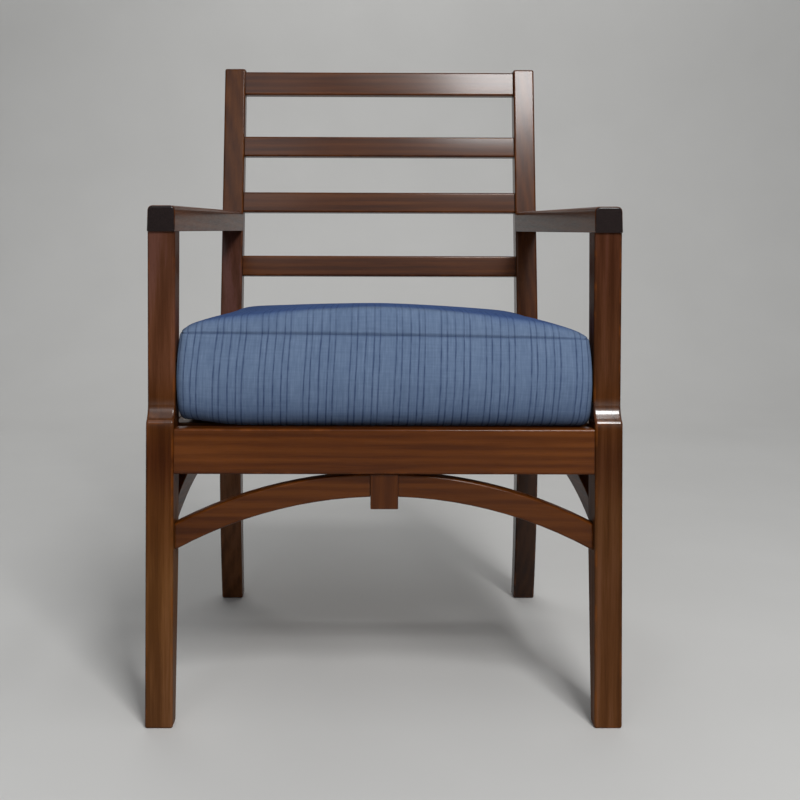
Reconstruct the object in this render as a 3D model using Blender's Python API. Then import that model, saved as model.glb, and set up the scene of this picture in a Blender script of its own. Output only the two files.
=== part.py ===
"""Patio dining armchair: a hardwood frame with a ladder back, open arms and arched braces,
joined by mortise and tenon, with a slatted seat deck and a loose box cushion.

Metres, +Z up. The chair faces -Y, and left and right are those of someone looking at its front.
Pieces are drawn with the front legs' front faces at Y = 0. The empty that carries them
brings the middle of the footprint to the origin.
"""

import math

import bmesh
import bpy
from mathutils import Euler, Matrix, Vector

# Overall sizes
FRONT_WIDTH = 0.600  # across the outer faces of the front legs
REAR_WIDTH = 0.530  # across the outer faces of the rear legs
SEAT_DEPTH = 0.472  # front faces of the front legs to front faces of the rear legs, at the aprons
SEAT_HEIGHT = 0.376  # floor to the top of the aprons
ARM_HEIGHT = 0.657  # floor to the top of the arms
BACK_HEIGHT = 0.902  # floor to the top of the rear legs

# Fits
FIT = 0.0003  # gap at every joint between two pieces
TENON_ROOT = 0.006  # how far a tenon's block reaches back into its own rail
SLOPED_ROOT = 0.012  # the same, where the rail ends against a sloping leg

# Front legs, each one piece with the post that carries the arm
FRONT_LEG_WIDTH = 0.035
FRONT_LEG_DEPTH = 0.046
FRONT_FOOT_DEPTH = 0.026
TAPER_DROP = 0.010  # the taper to the foot starts this far below the lowest brace
SHOULDER_RISE = 0.006  # the front face ends this far above the aprons
SHOULDER_RADIUS = 0.006
COVE_RADIUS = 0.021
POST_SETBACK = 0.013  # of the post's front face, just above the cove
POST_TOP_SETBACK = 0.007  # of the post's front face, under the arm
SHOULDER_STEPS = 4
COVE_STEPS = 8

# Rear legs, each one piece from floor to crest
REAR_LEG_WIDTH = 0.035
REAR_LEG_DEPTH = 0.040
REAR_TOP_DEPTH = 0.030
REAR_FOOT_DEPTH = 0.030
REAR_LEAN = 0.065  # how far the top stands behind the seat
REAR_BEND = 0.080  # height above the aprons over which the leg bends to its lean
REAR_SWEEP = 0.045  # how far the foot stands behind the seat
SWEEP_DROP = 0.010  # the sweep to the foot starts this far below the aprons
SWEEP_STEPS = 12
BEND_STEPS = 4

# Arms
ARM_THICKNESS = 0.033
ARM_WIDTH = 0.035
ARM_FRONT = 0.004  # of the arm's front end, behind the front legs' front faces
ARM_TOP_RADIUS = 0.006
ARM_LOWER_RADIUS = 0.001  # small, so that the arm sits flush on its post
ARM_END_EASE = 0.003  # of the front end, which stays square where it meets the post

# Back: a crest rail and three slats, from the top down
CREST_DROP = 0.005  # below the tops of the rear legs
CREST_HEIGHT = 0.0405
UPPER_GAP = 0.072
MIDDLE_GAP = 0.061
LOWER_GAP = 0.073
BACK_SLAT_HEIGHT = 0.0345
BACK_SLAT_THICKNESS = 0.018
BACK_SLAT_SETBACK = 0.008  # behind the rear legs' front faces

# Aprons
APRON_HEIGHT = 0.0575
APRON_THICKNESS = 0.022
FRONT_APRON_SETBACK = 0.003
SIDE_APRON_SETBACK = 0.003
REAR_APRON_SETBACK = 0.012

# Arched braces under the aprons. A radius is that of the arch's lower edge
ARCH_DEPTH = 0.030
ARCH_THICKNESS = 0.021
FRONT_ARCH_RADIUS = 0.552
SIDE_ARCH_RADIUS = 0.480
REAR_ARCH_RADIUS = 0.480
FRONT_ARCH_SETBACK = 0.012
SIDE_ARCH_SETBACK = 0.009
REAR_ARCH_SETBACK = 0.013
ARCH_STEPS = 24

# Key block, let into the crown of the front arch
KEY_WIDTH = 0.035
KEY_PROUD = 0.004  # in front of the arch
KEY_HOUSING = 0.009  # depth of its seat in the arch
KEY_DROP = 0.0145  # below the arch

# Tenons
RAIL_TENON = 0.015  # lengths
SIDE_REAR_TENON = 0.012  # shorter, to pass in front of the rear apron's tenon
ARM_TENON = 0.012
POST_TENON = 0.015
TENON_THICKNESS = 0.009
RAIL_SHOULDER = 0.006  # left above and below a tenon
ARCH_SHOULDER = 0.008
ARM_SHOULDER = 0.007
POST_TENON_WIDTH = 0.015
POST_TENON_DEPTH = 0.020

# Seat deck
SEAT_SLAT_COUNT = 7
SEAT_SLAT_WIDTH = 0.050
SEAT_SLAT_THICKNESS = 0.012
DECK_END_GAP = 0.004  # from the first and last slat to the legs
CLEAT_WIDTH = 0.020
CLEAT_HEIGHT = 0.020
BLOCK_HEIGHT = 0.020
BLOCK_REACH = 0.060  # of a corner block along each apron, from the leg

# Eased edges
LEG_EASE = 0.003
RAIL_EASE = 0.003
DECK_EASE = 0.002
BLOCK_EASE = 0.001  # of the key block and the corner blocks
EASE_STEPS = 3
SHARP_ANGLE = math.radians(35)  # edges that turn by more are eased, and shaded as edges

# Cushion
CUSHION_EDGE = 0.118  # height of its sides, seam to seam
CUSHION_CROWN = 0.028  # rise of its top above the upper seam
CUSHION_FRONT = 0.007  # of its front, behind the front legs' front faces
CUSHION_BACK_GAP = 0.006  # to the rear legs
CUSHION_SIDE_GAP = 0.003  # to the arms, when it is lifted out
CUSHION_CORNER = 0.024  # plan radius
CUSHION_SEAM_DRAW = 0.006  # how far the seams pull the sides in
CUSHION_UNDER_EDGE = 0.014  # width of the rounded lower edge
CUSHION_CORNER_STEPS = 7
CUSHION_SIDE_STEPS = 9
CUSHION_WALL_STEPS = 6
CUSHION_TOP_RINGS = (0.985, 0.95, 0.89, 0.80, 0.68, 0.52, 0.34, 0.16)
CROWN_FULLNESS = 2.7  # how far the crown stays level before it falls to the seam
CROWN_ROUNDNESS = 0.7  # how steeply it meets the seam

# Worked out from the sizes above
APRON_LOW = SEAT_HEIGHT - APRON_HEIGHT
ARCH_TOP = APRON_LOW - FIT
ARCH_LOW = ARCH_TOP - ARCH_DEPTH
ARM_LOW = ARM_HEIGHT - ARM_THICKNESS
POST_TOP = ARM_LOW - FIT
SHOULDER_HEIGHT = SEAT_HEIGHT + SHOULDER_RISE
SWEEP_HEIGHT = APRON_LOW - SWEEP_DROP
FRONT_LEG_INNER = FRONT_WIDTH / 2 - FRONT_LEG_WIDTH
REAR_LEG_INNER = REAR_WIDTH / 2 - REAR_LEG_WIDTH
BACK_SLOPE = REAR_LEAN / (BACK_HEIGHT - SEAT_HEIGHT - REAR_BEND / 2)
BACK_RAKE = math.atan(BACK_SLOPE)
DECK_LOW = SEAT_HEIGHT - SEAT_SLAT_THICKNESS
OVERALL_DEPTH = SEAT_DEPTH + max(REAR_LEAN + REAR_TOP_DEPTH, REAR_SWEEP + REAR_FOOT_DEPTH)
SIDES = {"left": -1, "right": 1}


def clear_scene():
    for old in list(bpy.data.objects):
        bpy.data.objects.remove(old, do_unlink=True)


def make_material(name, color, roughness):
    material = bpy.data.materials.new(name)
    material.use_nodes = True
    shader = material.node_tree.nodes["Principled BSDF"]
    shader.inputs["Base Color"].default_value = (*color, 1)
    shader.inputs["Roughness"].default_value = roughness
    shader.inputs["Metallic"].default_value = 0
    return material


def make_base():
    base = bpy.data.objects.new("chair", None)
    base.location.y = -OVERALL_DEPTH / 2
    bpy.context.scene.collection.objects.link(base)
    return base


def add_object(name, bm, material, location=(0, 0, 0), rotation=(0, 0, 0)):
    """One named piece, carried by the chair's empty."""
    bmesh.ops.recalc_face_normals(bm, faces=bm.faces)
    mesh = bpy.data.meshes.new(name)
    bm.to_mesh(mesh)
    bm.free()
    mesh.materials.append(material)
    mesh.shade_smooth()
    mesh.set_sharp_from_angle(angle=SHARP_ANGLE)
    obj = bpy.data.objects.new(name, mesh)
    obj.location = location
    obj.rotation_euler = rotation
    obj.parent = chair
    bpy.context.scene.collection.objects.link(obj)
    return obj


def prism(points, along):
    """The closed outline through the points, drawn out along a vector."""
    bm = bmesh.new()
    face = bm.faces.new([bm.verts.new(point) for point in points])
    drawn = bmesh.ops.extrude_face_region(bm, geom=[face])
    moved = [item for item in drawn["geom"] if isinstance(item, bmesh.types.BMVert)]
    bmesh.ops.translate(bm, verts=moved, vec=along)
    return bm


def loft(rings):
    """A closed solid through rings of points, all with the same count, capped at both ends."""
    bm = bmesh.new()
    loops = [[bm.verts.new(point) for point in ring] for ring in rings]
    for lower, upper in zip(loops, loops[1:]):
        for i in range(len(lower)):
            j = (i + 1) % len(lower)
            bm.faces.new((lower[i], lower[j], upper[j], upper[i]))
    bm.faces.new(loops[0])
    bm.faces.new(loops[-1])
    return bm


def arc(center, radius, start, end, steps):
    """Points on a circle from one angle to another, in radians, both ends included."""
    turn = (end - start) / steps
    return [
        (
            center[0] + radius * math.cos(start + turn * i),
            center[1] + radius * math.sin(start + turn * i),
        )
        for i in range(steps + 1)
    ]


def section(width, height, lower_radius, upper_radius):
    """A rectangle about (0, 0) with rounded corners: a rail's cross-section."""
    corners = (
        (-1, -1, lower_radius, math.pi),
        (1, -1, lower_radius, 1.5 * math.pi),
        (1, 1, upper_radius, 0),
        (-1, 1, upper_radius, 0.5 * math.pi),
    )
    points = []
    for across, up, radius, start in corners:
        center = (across * (width / 2 - radius), up * (height / 2 - radius))
        points += arc(center, radius, start, start + math.pi / 2, EASE_STEPS)
    return points


def ease(obj, radius):
    """Rounds every sharp edge of a piece."""
    bevel = obj.modifiers.new("eased_edges", "BEVEL")
    bevel.width = radius
    bevel.segments = EASE_STEPS
    bevel.limit_method = "ANGLE"
    bevel.angle_limit = SHARP_ANGLE


def boolean(obj, other, operation):
    modifier = obj.modifiers.new(other.name, "BOOLEAN")
    modifier.object = other
    modifier.operation = operation
    modifier.solver = "EXACT"


def helper_block(name, low, high, location=(0, 0, 0), rotation=(0, 0, 0)):
    """A plain block between two corners, which shapes other pieces and isn't one itself."""
    low, high = Vector(low), Vector(high)
    bm = bmesh.new()
    size = high - low
    place = Matrix.Translation((low + high) / 2) @ Matrix.Diagonal((*size, 1))
    bmesh.ops.create_cube(bm, size=1, matrix=place)
    block = add_object(name, bm, helper_material, location, rotation)
    block.hide_render = True
    block.display_type = "WIRE"
    return block


def tenon_joint(rail, post, low, high, location=(0, 0, 0), rotation=(0, 0, 0)):
    """Gives the rail a tenon between two corners, and the post a mortise that clears it."""
    tenon = helper_block(f"{rail.name}_to_{post.name}", low, high, location, rotation)
    boolean(rail, tenon, "UNION")
    room = Vector((FIT, FIT, FIT))
    mortise = helper_block(
        f"{post.name}_for_{rail.name}", Vector(low) - room, Vector(high) + room, location, rotation
    )
    boolean(post, mortise, "DIFFERENCE")


def end_tenons(rail, posts, shoulder_x, y_middle, z_low, z_high):
    """Tenons at both ends of a rail that runs from side to side."""
    for side, post in posts.items():
        ends = (SIDES[side] * (shoulder_x - TENON_ROOT), SIDES[side] * (shoulder_x + RAIL_TENON))
        low = (min(ends), y_middle - TENON_THICKNESS / 2, z_low)
        high = (max(ends), y_middle + TENON_THICKNESS / 2, z_high)
        tenon_joint(rail, post, low, high)


def rear_leg_front(z):
    """How far back a rear leg's front face stands at a height."""
    rise = z - SEAT_HEIGHT
    if rise > REAR_BEND:
        return SEAT_DEPTH + BACK_SLOPE * (rise - REAR_BEND / 2)
    if rise > 0:
        return SEAT_DEPTH + BACK_SLOPE * rise**2 / REAR_BEND / 2
    if z > SWEEP_HEIGHT:
        return SEAT_DEPTH
    return SEAT_DEPTH + REAR_SWEEP * (1 - z / SWEEP_HEIGHT) ** 2


def rear_leg_back(z):
    """How far back a rear leg's back face stands at a height."""
    if z > SEAT_HEIGHT:
        share = (z - SEAT_HEIGHT) / (BACK_HEIGHT - SEAT_HEIGHT)
        depth = REAR_LEG_DEPTH + (REAR_TOP_DEPTH - REAR_LEG_DEPTH) * share
        return rear_leg_front(z) + depth
    if z > SWEEP_HEIGHT:
        return SEAT_DEPTH + REAR_LEG_DEPTH
    sweep = REAR_SWEEP + REAR_FOOT_DEPTH - REAR_LEG_DEPTH
    return SEAT_DEPTH + REAR_LEG_DEPTH + sweep * (1 - z / SWEEP_HEIGHT) ** 2


def arch_drop(radius, offset):
    """How far a circle of this radius has fallen at an offset from its crown."""
    return radius - math.sqrt(radius**2 - offset**2)


def side_line(inset):
    """Where a side rail's face runs, inside the legs' outer faces: X for a Y."""
    run = SEAT_DEPTH - FRONT_LEG_DEPTH
    slope = (REAR_WIDTH - FRONT_WIDTH) / 2 / run
    return lambda y: FRONT_WIDTH / 2 - inset + slope * (y - FRONT_LEG_DEPTH)


def arm_line(inset):
    """Where an arm's face runs, inside its outer face: X for a Y."""
    run = rear_leg_front(ARM_HEIGHT) - ARM_FRONT
    slope = (REAR_WIDTH - FRONT_WIDTH) / 2 / run
    return lambda y: FRONT_WIDTH / 2 - inset + slope * (y - ARM_FRONT)


def front_leg_outline():
    """The side view of a front leg: tapered foot, shoulder, cove and post."""
    side_half = (SEAT_DEPTH - FRONT_LEG_DEPTH) / 2
    lowest_drop = max(
        arch_drop(FRONT_ARCH_RADIUS, FRONT_LEG_INNER), arch_drop(SIDE_ARCH_RADIUS, side_half)
    )
    taper_height = ARCH_LOW - lowest_drop - TAPER_DROP
    turn = math.acos(1 - POST_SETBACK / (SHOULDER_RADIUS + COVE_RADIUS))
    shoulder_center = (SHOULDER_RADIUS, SHOULDER_HEIGHT)
    shoulder = arc(shoulder_center, SHOULDER_RADIUS, math.pi, math.pi - turn, SHOULDER_STEPS)
    cove_height = SHOULDER_HEIGHT + (SHOULDER_RADIUS + COVE_RADIUS) * math.sin(turn)
    cove_center = (POST_SETBACK - COVE_RADIUS, cove_height)
    cove = arc(cove_center, COVE_RADIUS, -turn, 0, COVE_STEPS)
    return [
        (FRONT_FOOT_DEPTH, 0),
        (FRONT_LEG_DEPTH, taper_height),
        (FRONT_LEG_DEPTH, POST_TOP),
        (POST_TOP_SETBACK, POST_TOP),
        *reversed(cove),
        *reversed(shoulder[:-1]),
        (0, 0),
    ]


def make_front_leg(name, side):
    """A front leg with every sharp edge eased, apart from those that meet the arm."""
    points = [(side * FRONT_LEG_INNER, y, z) for y, z in front_leg_outline()]
    bm = prism(points, (side * FRONT_LEG_WIDTH, 0, 0))
    bmesh.ops.recalc_face_normals(bm, faces=bm.faces)
    sharp = [e for e in bm.edges if e.calc_face_angle() > SHARP_ANGLE]
    below_arm = [e for e in sharp if min(v.co.z for v in e.verts) < POST_TOP - FIT]
    bmesh.ops.bevel(
        bm, geom=below_arm, offset=LEG_EASE, segments=EASE_STEPS, profile=0.5, affect="EDGES"
    )
    return add_object(name, bm, frame_wood)


def make_rear_leg(name, side):
    heights = [SWEEP_HEIGHT * i / SWEEP_STEPS for i in range(SWEEP_STEPS + 1)]
    heights += [SEAT_HEIGHT + REAR_BEND * i / BEND_STEPS for i in range(BEND_STEPS + 1)]
    heights.append(BACK_HEIGHT)
    outline = [(rear_leg_back(z), z) for z in heights]
    outline += [(rear_leg_front(z), z) for z in reversed(heights)]
    points = [(side * REAR_LEG_INNER, y, z) for y, z in outline]
    leg = add_object(name, prism(points, (side * REAR_LEG_WIDTH, 0, 0)), frame_wood)
    ease(leg, LEG_EASE)
    return leg


def make_back_rail(name, center_z, height):
    """A crest rail or back slat, leaning with the rear legs and tenoned into both."""
    length = 2 * (REAR_LEG_INNER - FIT)
    half = length / 2
    outline = section(BACK_SLAT_THICKNESS, height, RAIL_EASE, RAIL_EASE)
    points = [(-half, y, z) for y, z in outline]
    setback = (BACK_SLAT_SETBACK + BACK_SLAT_THICKNESS / 2) / math.cos(BACK_RAKE)
    location = (0, rear_leg_front(center_z) + setback, center_z)
    lean = Euler((-BACK_RAKE, 0, 0))
    rail = add_object(name, prism(points, (length, 0, 0)), frame_wood, location, lean)
    half_height = height / 2 - RAIL_SHOULDER
    for side, post in rear_legs.items():
        ends = (SIDES[side] * (half - TENON_ROOT), SIDES[side] * (half + RAIL_TENON))
        low = (min(ends), -TENON_THICKNESS / 2, -half_height)
        high = (max(ends), TENON_THICKNESS / 2, half_height)
        tenon_joint(rail, post, low, high, location, lean)
    return rail


def make_back():
    crest_z = BACK_HEIGHT - CREST_DROP - CREST_HEIGHT / 2
    make_back_rail("crest_rail", crest_z, CREST_HEIGHT)
    edge = crest_z - CREST_HEIGHT / 2
    gaps = {"upper": UPPER_GAP, "middle": MIDDLE_GAP, "lower": LOWER_GAP}
    for name, gap in gaps.items():
        edge -= gap
        make_back_rail(f"back_slat_{name}", edge - BACK_SLAT_HEIGHT / 2, BACK_SLAT_HEIGHT)
        edge -= BACK_SLAT_HEIGHT


def make_arm(name, side):
    """A level arm that sits on the front post and butts against the rear leg."""
    inner, outer = arm_line(ARM_WIDTH), arm_line(0)
    outline = section(ARM_WIDTH, ARM_THICKNESS, ARM_LOWER_RADIUS, ARM_TOP_RADIUS)
    middle = ARM_HEIGHT - ARM_THICKNESS / 2
    rings = [[], []]
    for across, up in outline:
        z = middle + up
        for ring, y in zip(rings, (ARM_FRONT, rear_leg_front(z) - FIT)):
            ring.append((side * ((inner(y) + outer(y)) / 2 + across), y, z))
    bm = loft(rings)
    ends = [e for e in bm.edges if max(v.co.y for v in e.verts) < ARM_FRONT + FIT]
    above_post = [e for e in ends if max(v.co.z for v in e.verts) > ARM_LOW + 2 * ARM_LOWER_RADIUS]
    bmesh.ops.bevel(
        bm, geom=above_post, offset=ARM_END_EASE, segments=EASE_STEPS, profile=0.5, affect="EDGES"
    )
    return add_object(name, bm, frame_wood)


def join_arm(arm, side_name):
    """Seats an arm on the tenon of its post, and tenons it into the rear leg."""
    side = SIDES[side_name]
    post_x = side * (FRONT_LEG_INNER + FRONT_LEG_WIDTH / 2)
    post_y = (POST_TOP_SETBACK + FRONT_LEG_DEPTH) / 2
    half = (POST_TENON_WIDTH / 2, POST_TENON_DEPTH / 2)
    low = (post_x - half[0], post_y - half[1], POST_TOP - TENON_ROOT)
    high = (post_x + half[0], post_y + half[1], POST_TOP + POST_TENON)
    tenon_joint(front_legs[side_name], arm, low, high)
    z_low, z_high = ARM_LOW + ARM_SHOULDER, ARM_HEIGHT - ARM_SHOULDER
    leg_x = side * (REAR_LEG_INNER + REAR_LEG_WIDTH / 2)
    low = (leg_x - TENON_THICKNESS / 2, rear_leg_front(z_low) - SLOPED_ROOT, z_low)
    high = (leg_x + TENON_THICKNESS / 2, rear_leg_front(z_low) + ARM_TENON, z_high)
    tenon_joint(arm, rear_legs[side_name], low, high)


def make_cross_apron(name, legs, leg_inner, front):
    """An apron that runs from side to side between two legs."""
    half = leg_inner - FIT
    middle = (front + APRON_THICKNESS / 2, SEAT_HEIGHT - APRON_HEIGHT / 2)
    outline = section(APRON_THICKNESS, APRON_HEIGHT, RAIL_EASE, RAIL_EASE)
    points = [(-half, middle[0] + y, middle[1] + z) for y, z in outline]
    apron = add_object(name, prism(points, (2 * half, 0, 0)), frame_wood)
    z_low, z_high = APRON_LOW + RAIL_SHOULDER, SEAT_HEIGHT - RAIL_SHOULDER
    end_tenons(apron, legs, half, middle[0], z_low, z_high)
    return apron


def side_rail(name, side, inset, width, z_low, z_high, radius, material):
    """A straight rail along one side of the seat, from leg to leg."""
    inner, outer = side_line(inset + width), side_line(inset)
    height = z_high - z_low
    outline = section(width, height, radius, radius)
    rings = []
    for y in (FRONT_LEG_DEPTH + FIT, SEAT_DEPTH - FIT):
        middle = (inner(y) + outer(y)) / 2
        rings.append([(side * (middle + x), y, z_low + height / 2 + z) for x, z in outline])
    return add_object(name, loft(rings), material)


def side_tenons(rail, side_name, line, z_low, z_high):
    """Tenons at both ends of a rail that runs from front to back, in the middle of its thickness."""
    side = SIDES[side_name]
    half = TENON_THICKNESS / 2
    x = side * line(FRONT_LEG_DEPTH)
    low = (x - half, FRONT_LEG_DEPTH - RAIL_TENON, z_low)
    high = (x + half, FRONT_LEG_DEPTH + FIT + TENON_ROOT, z_high)
    tenon_joint(rail, front_legs[side_name], low, high)
    face = rear_leg_front(z_low)
    x = side * line(face)
    low = (x - half, face - FIT - SLOPED_ROOT, z_low)
    high = (x + half, face + SIDE_REAR_TENON, z_high)
    tenon_joint(rail, rear_legs[side_name], low, high)


def make_side_apron(name, side_name):
    apron = side_rail(
        name,
        SIDES[side_name],
        SIDE_APRON_SETBACK,
        APRON_THICKNESS,
        APRON_LOW,
        SEAT_HEIGHT,
        RAIL_EASE,
        frame_wood,
    )
    middle = side_line(SIDE_APRON_SETBACK + APRON_THICKNESS / 2)
    side_tenons(apron, side_name, middle, APRON_LOW + RAIL_SHOULDER, SEAT_HEIGHT - RAIL_SHOULDER)
    return apron


def arch_rails(radius, half_span):
    """The lower and upper edge of an arch, as rows of (offset from the crown, height)."""
    rows = []
    for edge, height in ((radius, ARCH_LOW), (radius + ARCH_DEPTH, ARCH_TOP)):
        offsets = [half_span * (2 * i / ARCH_STEPS - 1) for i in range(ARCH_STEPS + 1)]
        rows.append([(offset, height - arch_drop(edge, offset)) for offset in offsets])
    return rows


def arch_solid(lower, upper, place):
    """An arch sawn from a board: place gives the point for an offset, a share of the thickness
    and a height, and the long edges are eased."""
    rings = []
    middle = ARCH_THICKNESS / 2
    for (offset, low), (_, high) in zip(lower, upper):
        outline = section(ARCH_THICKNESS, high - low, RAIL_EASE, RAIL_EASE)
        rings.append([place(offset, middle + t, (low + high) / 2 + z) for t, z in outline])
    return loft(rings)


def make_cross_arch(name, legs, leg_inner, radius, front):
    """An arched brace that runs from side to side between two legs."""
    half = leg_inner - FIT
    lower, upper = arch_rails(radius, half)
    bm = arch_solid(lower, upper, lambda offset, t, z: (offset, front + t, z))
    arch = add_object(name, bm, frame_wood)
    z_low, z_high = lower[0][1] + ARCH_SHOULDER, upper[0][1] - ARCH_SHOULDER
    end_tenons(arch, legs, half, front + ARCH_THICKNESS / 2, z_low, z_high)
    return arch


def make_side_arch(name, side_name):
    """An arched brace along one side, which meets the sweep of the rear leg."""
    side = SIDES[side_name]
    half = (SEAT_DEPTH - FRONT_LEG_DEPTH) / 2
    crown_y = FRONT_LEG_DEPTH + half
    lower, upper = arch_rails(SIDE_ARCH_RADIUS, half - FIT)
    outer = side_line(SIDE_ARCH_SETBACK)
    rear_reach = half - FIT

    def place(offset, t, z):
        sweep = rear_leg_front(z) - SEAT_DEPTH if offset > rear_reach - FIT else 0
        y = crown_y + offset + sweep
        return (side * (outer(y) - t), y, z)

    arch = add_object(name, arch_solid(lower, upper, place), frame_wood)
    z_low, z_high = lower[0][1] + ARCH_SHOULDER, upper[0][1] - ARCH_SHOULDER
    side_tenons(
        arch, side_name, side_line(SIDE_ARCH_SETBACK + ARCH_THICKNESS / 2), z_low, z_high
    )
    return arch


def make_key_block(arch):
    """The block let into the crown of the front arch, with a foot that passes under it."""
    half = KEY_WIDTH / 2
    front = FRONT_ARCH_SETBACK - KEY_PROUD
    seat = FRONT_ARCH_SETBACK + KEY_HOUSING
    back = FRONT_ARCH_SETBACK + ARCH_THICKNESS
    facet = 2 * FRONT_LEG_INNER / ARCH_STEPS
    facet_sag = arch_drop(FRONT_ARCH_RADIUS, facet / 2)
    under_arch = ARCH_LOW - arch_drop(FRONT_ARCH_RADIUS, half) - facet_sag - FIT
    outline = [
        (front, ARCH_LOW - KEY_DROP),
        (back, ARCH_LOW - KEY_DROP),
        (back, under_arch),
        (seat, under_arch),
        (seat, ARCH_TOP),
        (front, ARCH_TOP),
    ]
    points = [(-half, y, z) for y, z in outline]
    block = add_object("arch_key_block", prism(points, (KEY_WIDTH, 0, 0)), frame_wood)
    ease(block, BLOCK_EASE)
    housing = helper_block(
        "key_block_housing",
        (-half - FIT, front, ARCH_LOW - KEY_DROP),
        (half + FIT, seat + FIT, SEAT_HEIGHT),
    )
    boolean(arch, housing, "DIFFERENCE")


def make_seat_deck():
    """Cleats along the side aprons, and slats across them."""
    inset = SIDE_APRON_SETBACK + APRON_THICKNESS + FIT
    cleat_top = DECK_LOW - FIT
    for side_name, side in SIDES.items():
        side_rail(
            f"seat_cleat_{side_name}",
            side,
            inset,
            CLEAT_WIDTH,
            cleat_top - CLEAT_HEIGHT,
            cleat_top,
            DECK_EASE,
            deck_wood,
        )
    first = FRONT_LEG_DEPTH + DECK_END_GAP
    last = SEAT_DEPTH - DECK_END_GAP - SEAT_SLAT_WIDTH
    step = (last - first) / (SEAT_SLAT_COUNT - 1)
    for i in range(SEAT_SLAT_COUNT):
        make_seat_slat(f"seat_slat_{i + 1}", first + step * i)


def make_seat_slat(name, front):
    half = side_line(SIDE_APRON_SETBACK + APRON_THICKNESS + FIT)(front + SEAT_SLAT_WIDTH)
    outline = section(SEAT_SLAT_WIDTH, SEAT_SLAT_THICKNESS, DECK_EASE, DECK_EASE)
    middle = (front + SEAT_SLAT_WIDTH / 2, DECK_LOW + SEAT_SLAT_THICKNESS / 2)
    points = [(-half, middle[0] + y, middle[1] + z) for y, z in outline]
    return add_object(name, prism(points, (2 * half, 0, 0)), deck_wood)


def make_corner_block(name, side, leg_inner, leg_face, apron_face):
    """A glue block across the corner of two aprons, notched round the leg."""
    side_face = side_line(SIDE_APRON_SETBACK + APRON_THICKNESS + FIT)
    inward = 1 if leg_face > apron_face else -1
    clear_leg = leg_face + inward * FIT
    clear_apron = apron_face + inward * FIT
    leg_x = leg_inner - FIT
    far = clear_leg + inward * BLOCK_REACH
    outline = [
        (leg_x, clear_apron),
        (leg_x - BLOCK_REACH, clear_apron),
        (side_face(far), far),
        (side_face(clear_leg), clear_leg),
        (leg_x, clear_leg),
    ]
    top = DECK_LOW - FIT - CLEAT_HEIGHT - FIT
    points = [(side * x, y, top - BLOCK_HEIGHT) for x, y in outline]
    block = add_object(name, prism(points, (0, 0, BLOCK_HEIGHT)), deck_wood)
    ease(block, BLOCK_EASE)
    return block


def make_corner_blocks():
    front_face = FRONT_APRON_SETBACK + APRON_THICKNESS
    rear_face = SEAT_DEPTH + REAR_APRON_SETBACK
    for side_name, side in SIDES.items():
        make_corner_block(
            f"corner_block_front_{side_name}", side, FRONT_LEG_INNER, FRONT_LEG_DEPTH, front_face
        )
        make_corner_block(
            f"corner_block_rear_{side_name}", side, REAR_LEG_INNER, SEAT_DEPTH, rear_face
        )


def cushion_plan(inset):
    """The cushion seen from above, drawn in by an inset: straight sides and round corners."""
    side = arm_line(ARM_WIDTH + CUSHION_SIDE_GAP + inset)
    front, back = CUSHION_FRONT + inset, SEAT_DEPTH - CUSHION_BACK_GAP - inset
    radius = CUSHION_CORNER - inset
    corners = []
    for across, y, start in ((1, front, -0.5), (1, back, 0), (-1, back, 0.5), (-1, front, 1)):
        center_y = y + radius * (1 if y == front else -1)
        center_x = across * (side(center_y) - radius)
        turn = start * math.pi
        corners.append(arc((center_x, center_y), radius, turn, turn + math.pi / 2, CUSHION_CORNER_STEPS))
    points = []
    for corner, following in zip(corners, corners[1:] + corners[:1]):
        points += corner
        a, b = Vector(corner[-1]), Vector(following[0])
        points += [tuple(a.lerp(b, i / CUSHION_SIDE_STEPS)) for i in range(1, CUSHION_SIDE_STEPS)]
    return points


def make_cushion():
    """A box cushion: drawn in at its seams, full at mid-height, with a crowned top."""
    middle_y = (CUSHION_FRONT + SEAT_DEPTH - CUSHION_BACK_GAP) / 2
    rest = Vector((0, middle_y, SEAT_HEIGHT + FIT))
    seam = cushion_plan(CUSHION_SEAM_DRAW)
    rings = [[(x, y, 0) for x, y in cushion_plan(CUSHION_UNDER_EDGE)]]
    lowest = CUSHION_UNDER_EDGE - CUSHION_SEAM_DRAW
    for i in range(CUSHION_WALL_STEPS + 1):
        share = i / CUSHION_WALL_STEPS
        draw = CUSHION_SEAM_DRAW * (2 * share - 1) ** 2
        z = lowest + (CUSHION_EDGE - lowest) * share
        rings.append([(x, y, z) for x, y in cushion_plan(draw)])
    for ring in CUSHION_TOP_RINGS:
        rise = CUSHION_CROWN * (1 - ring**CROWN_FULLNESS) ** CROWN_ROUNDNESS
        rings.append([(x, y, CUSHION_EDGE + rise) for x, y in crown_ring(seam, middle_y, ring)])
    bm = loft([[Vector(p) - Vector((0, middle_y, 0)) for p in ring] for ring in rings])
    return add_object("seat_cushion", bm, cushion_fabric, rest)


def crown_ring(seam, middle_y, ring):
    """The seam's outline shrunk towards the middle of the top, rounder the nearer it gets."""
    half_x = max(x for x, _ in seam)
    half_y = max(y for _, y in seam) - middle_y
    points = []
    for x, y in seam:
        across, along = x / half_x, (y - middle_y) / half_y
        roundness = 1 - ring**2
        shrink = ring * (1 - roundness + roundness / math.hypot(across, along))
        points.append((x * shrink, middle_y + (y - middle_y) * shrink))
    return points


clear_scene()
chair = make_base()
frame_wood = make_material("frame_wood", (0.105, 0.036, 0.014), 0.32)
deck_wood = make_material("deck_wood", (0.120, 0.046, 0.019), 0.50)
cushion_fabric = make_material("cushion_fabric", (0.120, 0.185, 0.350), 0.90)
helper_material = make_material("helper", (0.5, 0.5, 0.5), 0.50)

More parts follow.
